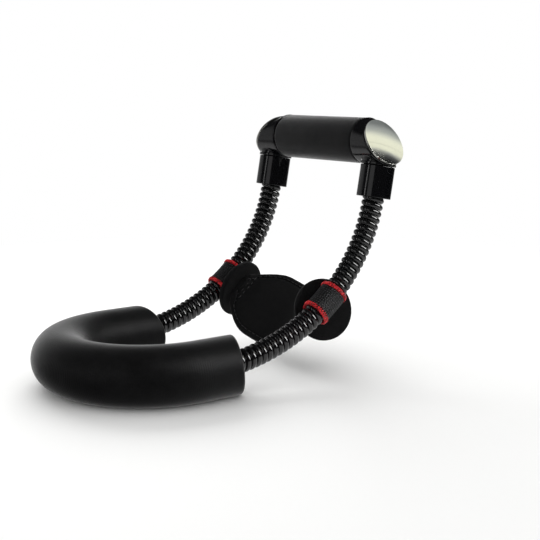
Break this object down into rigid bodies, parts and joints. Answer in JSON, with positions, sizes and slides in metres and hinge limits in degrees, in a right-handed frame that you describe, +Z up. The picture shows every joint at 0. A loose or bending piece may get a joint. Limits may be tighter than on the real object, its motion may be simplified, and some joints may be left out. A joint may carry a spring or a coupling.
{
  "type": "wrist trainer",
  "caption": "Forearm and wrist trainer: padded U-shaped armrest, bending coil springs, padded wrist sling on the springs and a cross handle.",
  "frame": {"origin": "on the flat rest face under the middle of the armrest's bend", "axes": "+Z up from the rest face, +Y from the armrest's bend towards the handle, +X across the armrest to the user's right"},
  "size_m": [0.145, 0.2285, 0.1601],
  "materials": {
    "armrest_foam": "matte",
    "plain_steel": "satin",
    "spring_coating": "gloss",
    "gloss_plastic": "gloss",
    "cap_plating": "polished",
    "aluminium_tube": "satin",
    "grip_foam": "matte",
    "nylon_plug": "satin",
    "pad_cloth": "matte",
    "webbing": "matte",
    "binding": "matte"
  },
  "bodies": {
    "frame": {"armrest_foam": "armrest_foam", "u_bar": "plain_steel", "bar_socket_left": "plain_steel", "bar_socket_right": "plain_steel"},
    "springs": {"spring_left": "spring_coating", "spring_right": "spring_coating"},
    "sling": {"wrist_pad": "pad_cloth", "side_disc_left": "pad_cloth", "side_disc_right": "pad_cloth", "strap_loop_left": "webbing", "strap_loop_right": "webbing", "binding_lower_left": "binding", "binding_lower_right": "binding", "binding_upper_left": "binding", "binding_upper_right": "binding"},
    "handle": {"handle_tube": "aluminium_tube", "handle_grip": "grip_foam", "ferrule_left": "gloss_plastic", "ferrule_right": "gloss_plastic", "spring_stud_left": "plain_steel", "spring_stud_right": "plain_steel", "elbow_left": "gloss_plastic", "elbow_right": "gloss_plastic", "elbow_cap_left": "cap_plating", "elbow_cap_right": "cap_plating", "handle_screw_left": "plain_steel", "handle_screw_right": "plain_steel", "tube_insert_left": "nylon_plug", "tube_insert_right": "nylon_plug"}
  },
  "joints": [
    {"name": "lower_flex", "type": "hinge", "parent": "frame", "child": "springs", "pos_m": [0, 0.11931, 0.02875], "axis": [1, 0, 0], "range_deg": [-35, 18], "stiffness_Nm_per_rad": 12, "deforming": ["spring_left", "spring_right"]},
    {"name": "upper_flex", "type": "hinge", "parent": "springs", "child": "handle", "pos_m": [0, 0.17527, 0.0756], "axis": [1, 0, 0], "range_deg": [-35, 18], "stiffness_Nm_per_rad": 12, "deforming": ["spring_left", "spring_right"]},
    {"name": "sling_slide", "type": "hinge", "parent": "springs", "child": "sling", "pos_m": [0, 0.07402, 0.14092], "axis": [1, 0, 0], "range_deg": [-14.2, 14.2]}
  ],
  "couplings": [
    {"joint": "upper_flex", "follows": "lower_flex", "ratio": 1}
  ]
}
